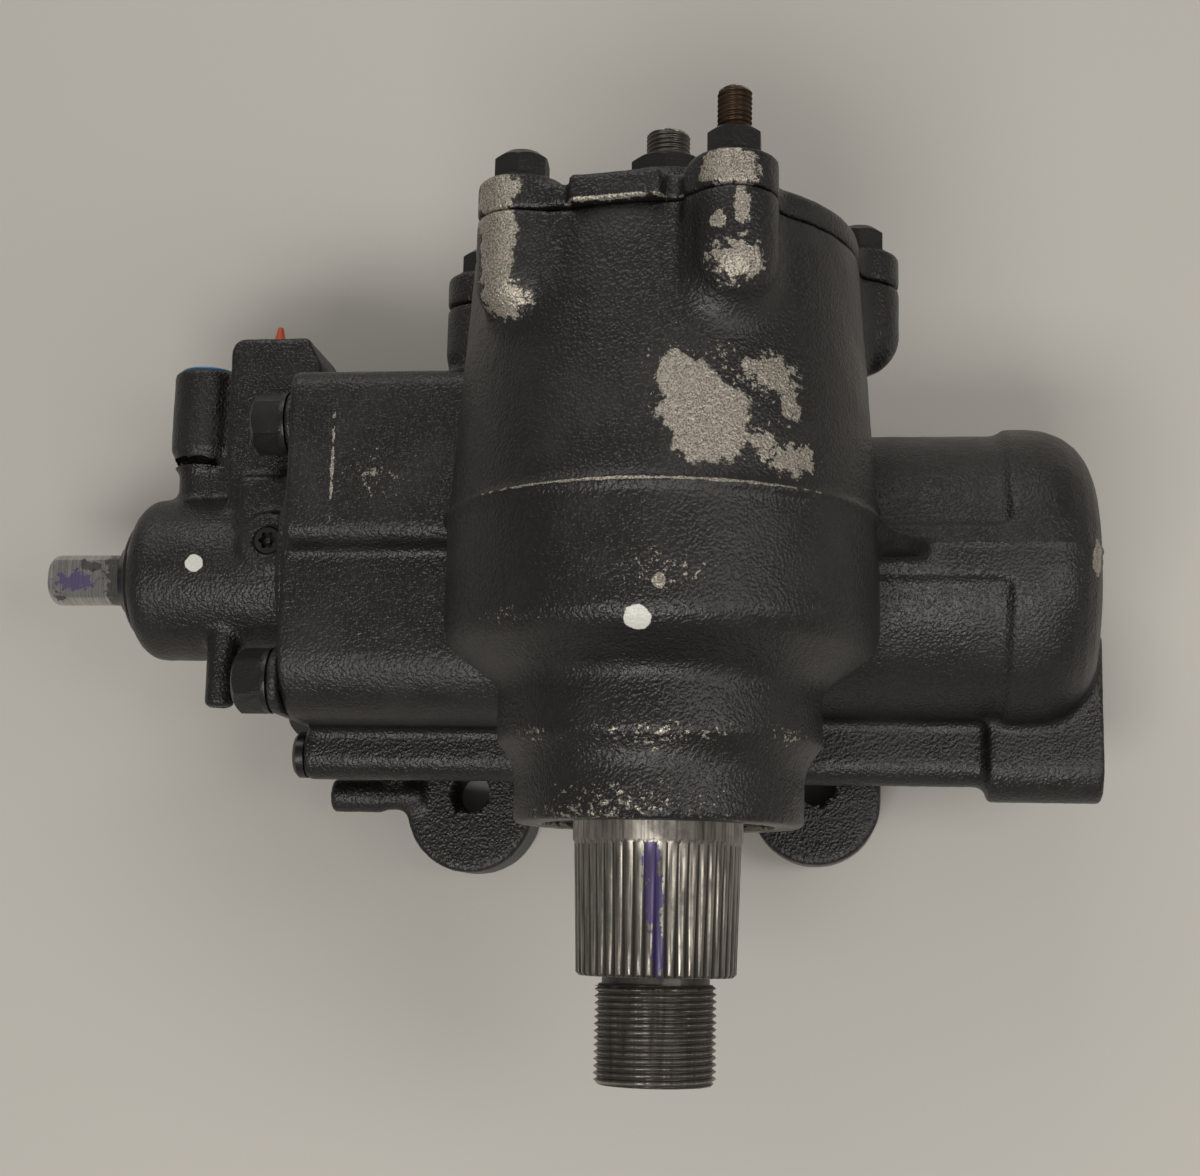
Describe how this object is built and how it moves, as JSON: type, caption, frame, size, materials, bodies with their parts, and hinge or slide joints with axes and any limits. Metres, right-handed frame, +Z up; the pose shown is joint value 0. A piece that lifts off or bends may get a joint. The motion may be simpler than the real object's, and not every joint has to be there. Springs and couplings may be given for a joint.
{
  "type": "steering gearbox",
  "caption": "Recirculating-ball power steering gear: cast housing with rack piston, sector output shaft on a serrated taper, worm, rotary valve and bolted covers.",
  "frame": {"origin": "centre of the left frame hole at the mounting face", "axes": "+X along the worm towards the closed end of the cylinder, +Y along the sector shaft towards the side cover, +Z up from the mounting face"},
  "size_m": [0.365, 0.294, 0.2013],
  "materials": {
    "painted_casting": "satin black paint on a rough casting",
    "painted_fasteners": "satin black paint",
    "dark_steel": "machined, oily",
    "bright_steel": "ground",
    "bearing_steel": "polished",
    "machined_steel": "machined",
    "bronze": "machined",
    "black_rubber": "smooth",
    "ring_plastic": "matte",
    "orange_plastic": "matte",
    "blue_plastic": "matte"
  },
  "bodies": {
    "housing": {"gear_housing": "painted_casting", "side_cover": "painted_casting", "cover_o_ring": "black_rubber", "cover_bolts": "painted_fasteners", "cover_stud_bolt": "painted_fasteners", "adjuster_screw": "dark_steel", "adjuster_lock_nut": "painted_fasteners", "cover_bushing": "bronze", "lower_needle_bearing": "bearing_steel", "sector_oil_seal": "black_rubber", "sector_dust_seal": "black_rubber", "sector_snap_ring": "dark_steel", "valve_housing": "painted_casting", "valve_o_ring": "black_rubber", "valve_bolts": "painted_fasteners", "passage_plug": "painted_fasteners", "gallery_plugs": "painted_fasteners", "pressure_tube_seat": "bronze", "return_tube_seat": "bronze", "input_needle_bearing": "bearing_steel", "input_lip_seal": "black_rubber", "input_snap_ring": "dark_steel", "input_dust_seal": "black_rubber", "worm_bearing_outer_race": "bearing_steel", "worm_bearing_balls": "bearing_steel", "bearing_lock_ring": "machined_steel"},
    "sector": {"sector_shaft": "dark_steel", "adjuster_retainer": "machined_steel"},
    "piston": {"rack_piston": "machined_steel", "piston_ring": "ring_plastic", "piston_backup_ring": "black_rubber", "piston_end_plug": "machined_steel", "recirculating_balls": "bearing_steel", "ball_return_guide": "machined_steel", "guide_clamp": "machined_steel", "clamp_screws": "machined_steel"},
    "worm": {"worm_shaft": "machined_steel", "worm_bearing_inner_race": "bearing_steel", "valve_sleeve": "machined_steel", "sleeve_rings": "ring_plastic", "sleeve_drive_pin": "machined_steel"},
    "input": {"input_shaft": "bright_steel", "torsion_bar": "machined_steel", "torsion_bar_pin": "machined_steel"},
    "pressure_plug": {"pressure_port_plug": "orange_plastic"},
    "return_plug": {"return_port_plug": "blue_plastic"}
  },
  "joints": [
    {"name": "sector_swing", "type": "hinge", "parent": "housing", "child": "sector", "pos_m": [0.0775, 0.0715, 0.13], "axis": [0, 1, 0], "range_deg": [-45, 45]},
    {"name": "piston_slide", "type": "slide", "parent": "housing", "child": "piston", "axis": [1, 0, 0], "range_m": [-0.0335, 0.0335]},
    {"name": "worm_spin", "type": "hinge", "parent": "housing", "child": "worm", "pos_m": [0.0775, 0.0715, 0.058], "axis": [1, 0, 0], "range_deg": [-725, 725]},
    {"name": "valve_twist", "type": "hinge", "parent": "worm", "child": "input", "pos_m": [-0.0725, 0.0715, 0.058], "axis": [1, 0, 0], "range_deg": [-4, 4], "stiffness_Nm_per_rad": 30},
    {"name": "pressure_plug_pull", "type": "slide", "parent": "housing", "child": "pressure_plug", "axis": [0, 1, 0], "range_m": [0, 0.05]},
    {"name": "return_plug_pull", "type": "slide", "parent": "housing", "child": "return_plug", "axis": [0, 1, 0], "range_m": [0, 0.05]}
  ],
  "couplings": [
    {"joint": "piston_slide", "follows": "sector_swing", "m_per_rad": -0.042},
    {"joint": "worm_spin", "follows": "sector_swing", "ratio": 16}
  ]
}
